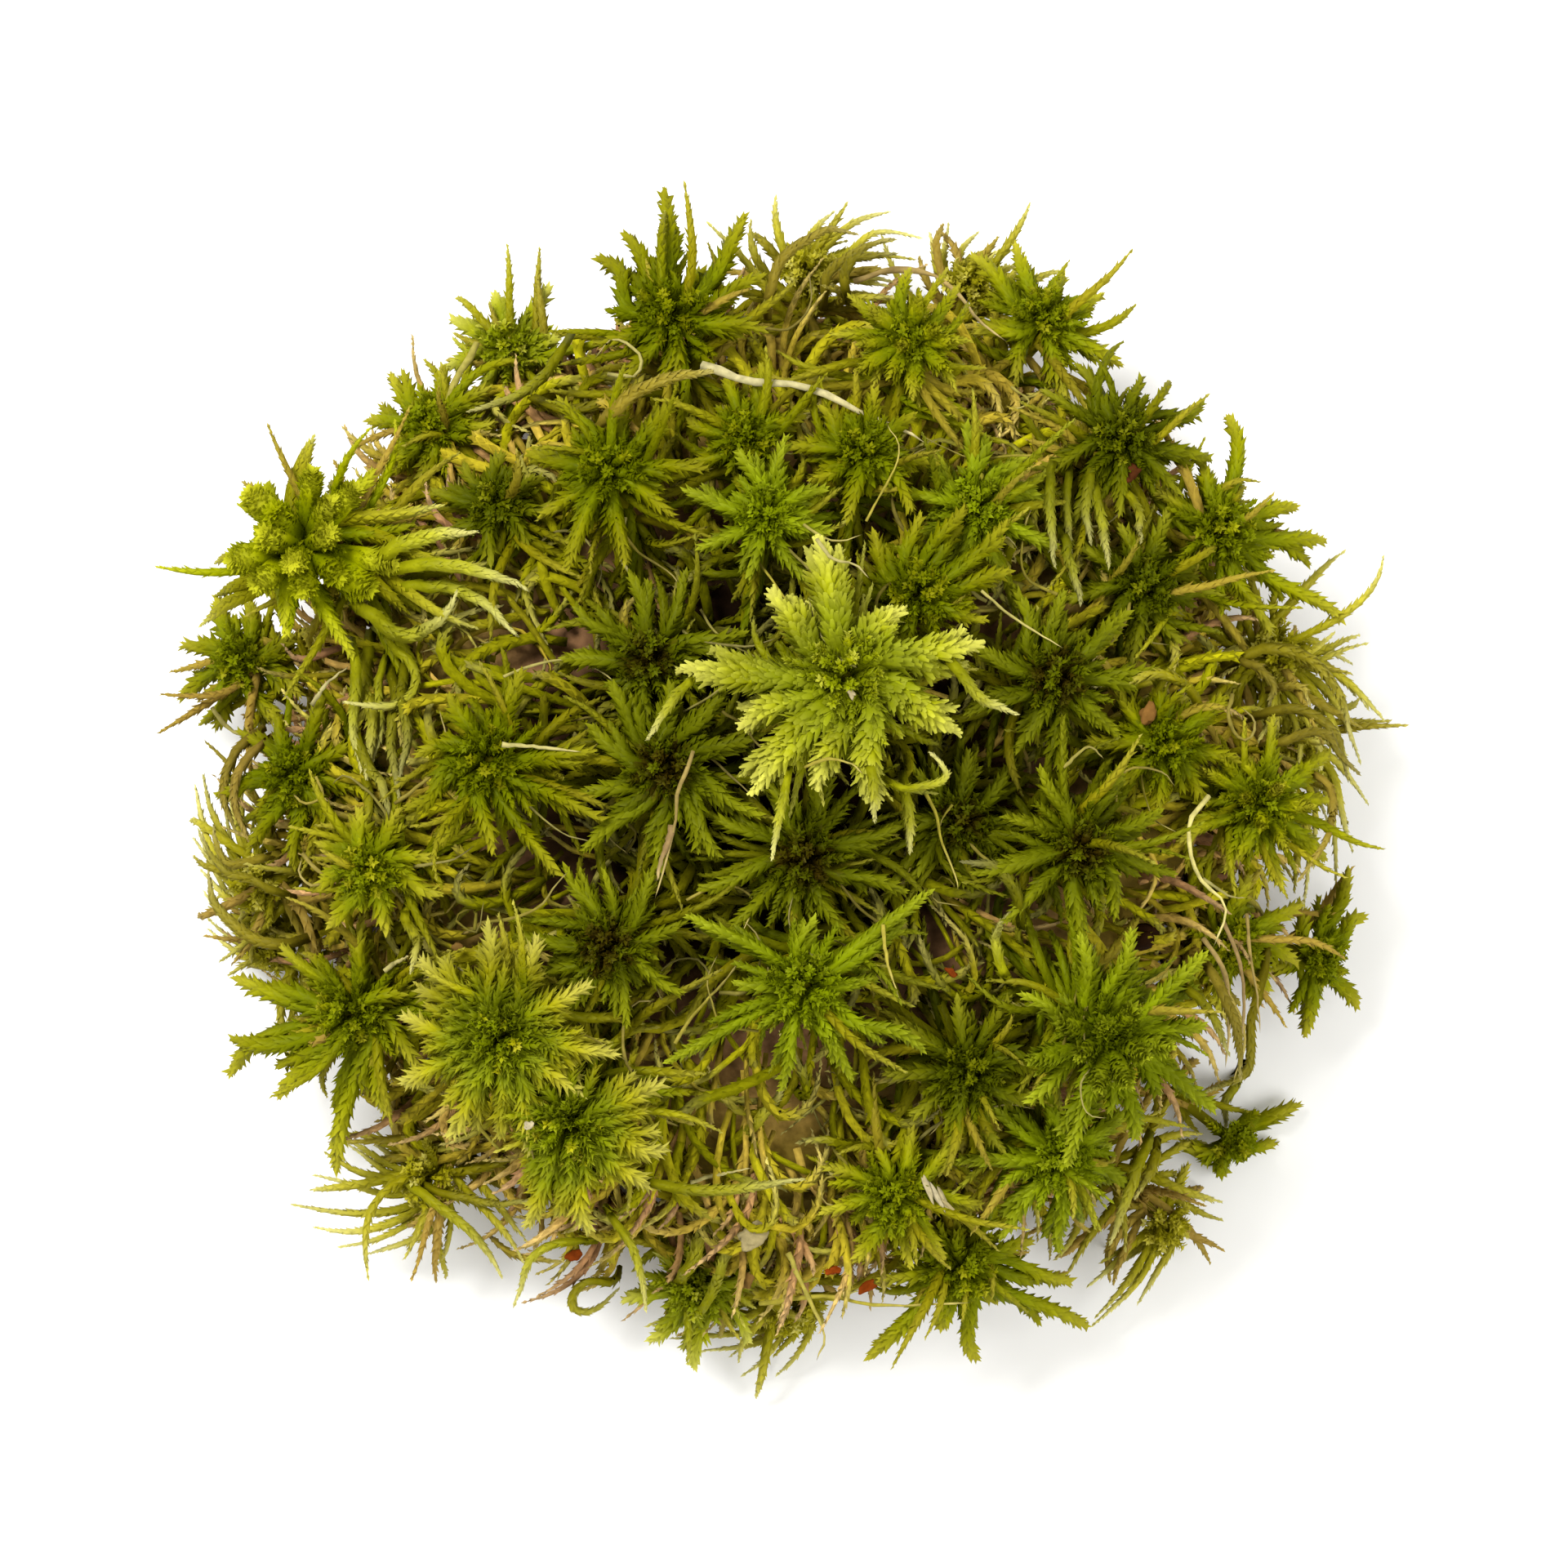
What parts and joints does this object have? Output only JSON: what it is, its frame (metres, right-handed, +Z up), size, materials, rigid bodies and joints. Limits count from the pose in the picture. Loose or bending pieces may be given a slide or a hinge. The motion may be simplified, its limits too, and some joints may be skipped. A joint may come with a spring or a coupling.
{
  "type": "moss clump",
  "caption": "Rounded clump of live bog moss: star-shaped leafy green heads on stems over a mound of dead brown stems, cut flat underneath.",
  "frame": {"origin": "middle of the flat cut underside that the clump rests on", "axes": "+Z up out of the clump; seen from above, +X is to the picture's right and +Y towards its top"},
  "size_m": [0.0821, 0.0809, 0.043],
  "materials": {
    "crown_leaves": "moist leaf, bright yellow-green",
    "inner_leaves": "moist leaf, dark green",
    "outer_leaves": "moist leaf, green with yellow-green tips",
    "rim_leaves": "moist leaf, yellow-green with pale tips",
    "fringe_leaves": "dull leaf, olive",
    "dead_stems": "matt dead stems, straw to brown"
  },
  "bodies": {
    "root": {"crown_shoot": "crown_leaves", "inner_shoot_1": "inner_leaves", "inner_shoot_2": "inner_leaves", "inner_shoot_3": "inner_leaves", "inner_shoot_4": "inner_leaves", "inner_shoot_5": "inner_leaves", "inner_shoot_6": "inner_leaves", "inner_shoot_7": "inner_leaves", "outer_shoot_1": "outer_leaves", "outer_shoot_2": "outer_leaves", "outer_shoot_3": "outer_leaves", "outer_shoot_4": "outer_leaves", "outer_shoot_5": "outer_leaves", "outer_shoot_6": "outer_leaves", "outer_shoot_7": "outer_leaves", "outer_shoot_8": "outer_leaves", "outer_shoot_9": "outer_leaves", "outer_shoot_10": "outer_leaves", "outer_shoot_11": "outer_leaves", "outer_shoot_12": "outer_leaves", "outer_shoot_13": "outer_leaves", "outer_shoot_14": "outer_leaves", "outer_shoot_15": "outer_leaves", "outer_shoot_16": "outer_leaves", "rim_shoot_1": "rim_leaves", "rim_shoot_2": "rim_leaves", "rim_shoot_3": "rim_leaves", "rim_shoot_4": "rim_leaves", "rim_shoot_5": "rim_leaves", "rim_shoot_6": "rim_leaves", "rim_shoot_7": "rim_leaves", "rim_shoot_8": "rim_leaves", "rim_shoot_9": "rim_leaves", "rim_shoot_10": "rim_leaves", "rim_shoot_11": "rim_leaves", "rim_shoot_12": "rim_leaves", "rim_shoot_13": "rim_leaves", "rim_shoot_14": "rim_leaves", "rim_shoot_15": "rim_leaves", "rim_shoot_16": "rim_leaves", "rim_shoot_17": "rim_leaves", "rim_shoot_18": "rim_leaves", "rim_shoot_19": "rim_leaves", "fringe_shoot_1": "fringe_leaves", "fringe_shoot_2": "fringe_leaves", "fringe_shoot_3": "fringe_leaves", "fringe_shoot_4": "fringe_leaves", "fringe_shoot_5": "fringe_leaves", "fringe_shoot_6": "fringe_leaves", "fringe_shoot_7": "fringe_leaves", "fringe_shoot_8": "fringe_leaves", "fringe_shoot_9": "fringe_leaves", "dead_stem_mound": "dead_stems"}
  },
  "joints": []
}
